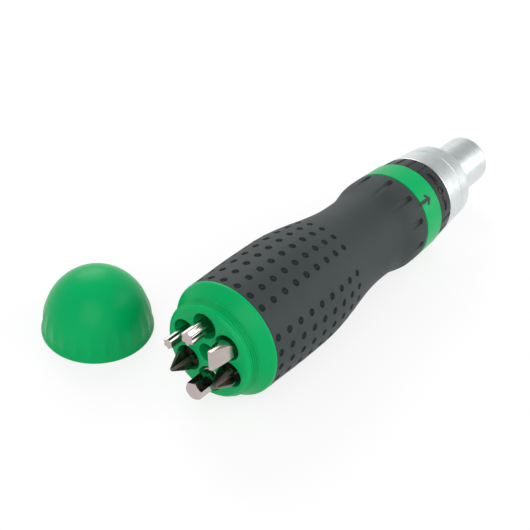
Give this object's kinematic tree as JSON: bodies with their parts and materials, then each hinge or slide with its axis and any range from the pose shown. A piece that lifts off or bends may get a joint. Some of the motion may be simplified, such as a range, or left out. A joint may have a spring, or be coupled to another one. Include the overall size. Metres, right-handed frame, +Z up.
{
  "type": "ratcheting screwdriver",
  "caption": "Ratcheting screwdriver with a rubber grip, selector ring and bit socket; spare bits stand in the handle's rear end, under a screw-on domed cap.",
  "frame": {"origin": "on the floor, under the middle of the box round the whole set", "axes": "+X towards the nose, along the handle seen from above; +Y from the handle to the cap; +Z up"},
  "size_m": [0.1558, 0.0808, 0.0371],
  "materials": {
    "green_plastic": "satin",
    "black_rubber": "matte",
    "black_plastic": "satin",
    "satin_metal": "satin",
    "steel": "satin",
    "bit_steel": "bright",
    "dark_steel": "phosphated",
    "bronze": "satin"
  },
  "bodies": {
    "handle": {"handle_core": "green_plastic", "grip": "black_rubber", "ratchet_body": "steel", "rear_bushing": "bronze", "thrust_washer": "bronze", "forward_pawl_pin": "steel", "reverse_pawl_pin": "steel", "pawl_spring": "steel", "detent_spring": "steel", "nose_sleeve": "satin_metal"},
    "spindle": {"spindle": "satin_metal", "retaining_ring": "dark_steel", "socket_magnet": "dark_steel", "bit_clip": "steel"},
    "selector": {"selector_ring": "black_plastic"},
    "forward_pawl": {"forward_pawl": "dark_steel"},
    "reverse_pawl": {"reverse_pawl": "dark_steel"},
    "detent_ball": {"detent_ball": "steel"},
    "cap": {"end_cap": "green_plastic"},
    "star_bit_small": {"star_bit_small": "bit_steel"},
    "star_bit_large": {"star_bit_large": "bit_steel"},
    "slotted_bit": {"slotted_bit": "bit_steel"},
    "star_cross_bit": {"star_cross_bit": "dark_steel"},
    "hex_bit": {"hex_bit": "bit_steel"},
    "cross_bit": {"cross_bit": "dark_steel"}
  },
  "joints": [
    {"name": "spindle_turn", "type": "hinge", "parent": "handle", "child": "spindle", "pos_m": [0.07761, -0.02243, 0.01337], "axis": [0.9991, 0, -0.043], "continuous": true},
    {"name": "selector_turn", "type": "hinge", "parent": "handle", "child": "selector", "pos_m": [0.03455, -0.02243, 0.01522], "axis": [0.9991, 0, -0.043], "range_deg": [-17, 17]},
    {"name": "forward_pawl_swing", "type": "hinge", "parent": "handle", "child": "forward_pawl", "pos_m": [0.0368, -0.0178, 0.00711], "axis": [0.9991, 0, -0.043], "range_deg": [-7, 0], "stiffness_Nm_per_rad": 0.002},
    {"name": "reverse_pawl_swing", "type": "hinge", "parent": "handle", "child": "reverse_pawl", "pos_m": [0.0368, -0.02705, 0.00711], "axis": [0.9991, 0, -0.043], "range_deg": [0, 7], "stiffness_Nm_per_rad": 0.002},
    {"name": "detent_ball_push", "type": "slide", "parent": "handle", "child": "detent_ball", "axis": [-0.9991, 0, 0.043], "range_m": [0, 0.0003], "stiffness_N_per_m": 1000},
    {"name": "cap_lift", "type": "slide", "parent": "handle", "child": "cap", "axis": [0, 0, 1], "range_m": [0, 0.06]},
    {"name": "star_bit_small_pull", "type": "slide", "parent": "handle", "child": "star_bit_small", "axis": [-0.9991, 0, 0.043], "range_m": [0, 0.02]},
    {"name": "star_bit_large_pull", "type": "slide", "parent": "handle", "child": "star_bit_large", "axis": [-0.9991, 0, 0.043], "range_m": [0, 0.02]},
    {"name": "slotted_bit_pull", "type": "slide", "parent": "handle", "child": "slotted_bit", "axis": [-0.9991, 0, 0.043], "range_m": [0, 0.02]},
    {"name": "star_cross_bit_pull", "type": "slide", "parent": "handle", "child": "star_cross_bit", "axis": [-0.9991, 0, 0.043], "range_m": [0, 0.02]},
    {"name": "hex_bit_pull", "type": "slide", "parent": "handle", "child": "hex_bit", "axis": [-0.9991, 0, 0.043], "range_m": [0, 0.02]},
    {"name": "cross_bit_pull", "type": "slide", "parent": "handle", "child": "cross_bit", "axis": [-0.9991, 0, 0.043], "range_m": [0, 0.02]}
  ]
}
